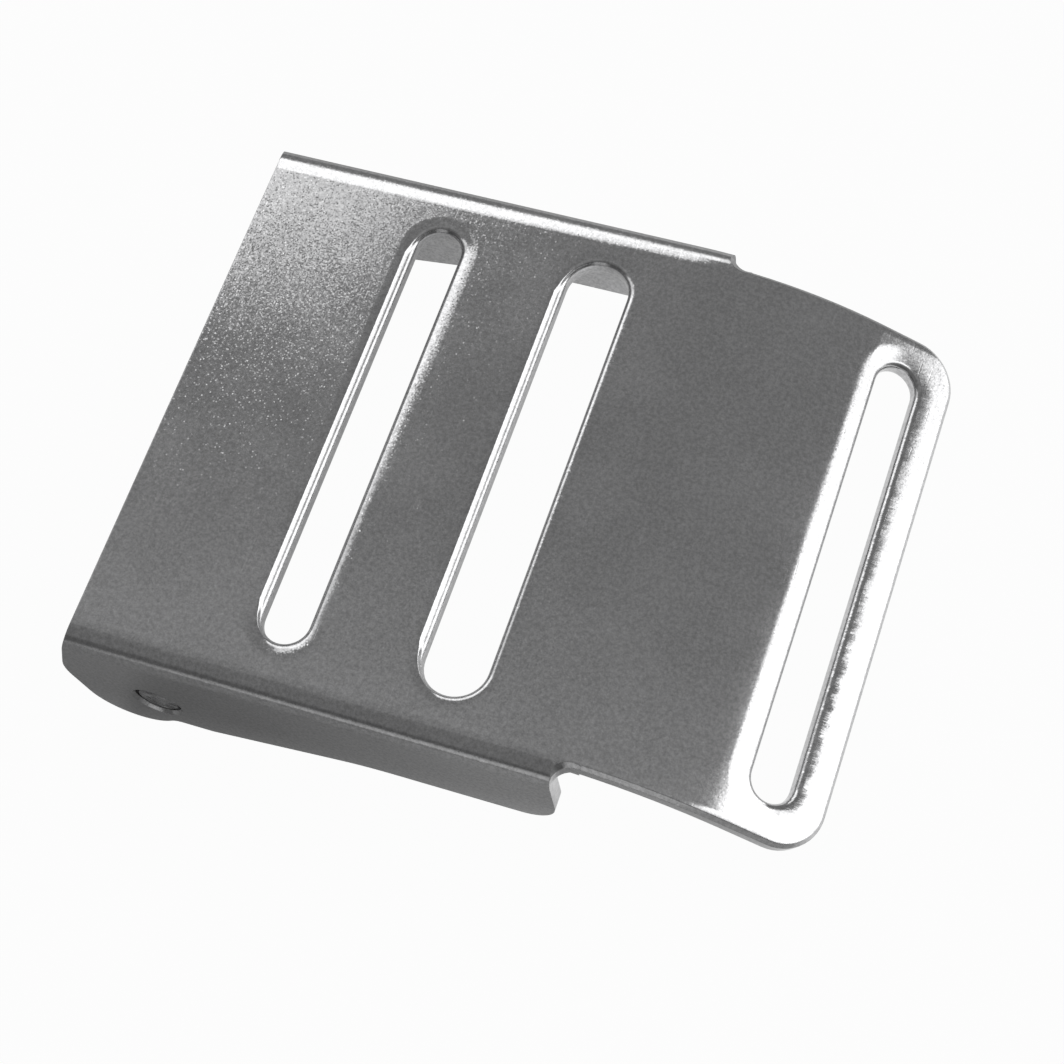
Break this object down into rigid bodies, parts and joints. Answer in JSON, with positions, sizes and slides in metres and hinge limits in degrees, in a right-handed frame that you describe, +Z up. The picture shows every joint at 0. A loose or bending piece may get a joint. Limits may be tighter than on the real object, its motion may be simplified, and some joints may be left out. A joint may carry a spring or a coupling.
{
  "type": "strapping buckle",
  "caption": "Folded steel strapping buckle with webbing slots across its plate and curved tongue, side flanges, and a cross pin between rounded ears.",
  "frame": {"origin": "middle of the bounding box in X and Y, at the level of the surface that the buckle lies on", "axes": "+X from the pin end to the tongue, +Y across the webbing, +Z up as the buckle lies on its ears and the end of its tongue"},
  "size_m": [0.0792, 0.063, 0.0176],
  "materials": {
    "sheet_steel": "satin stainless steel with fine random scratches",
    "pin_steel": "turned stainless steel"
  },
  "bodies": {
    "root": {"buckle_plate": "sheet_steel", "cross_pin": "pin_steel"}
  },
  "joints": []
}
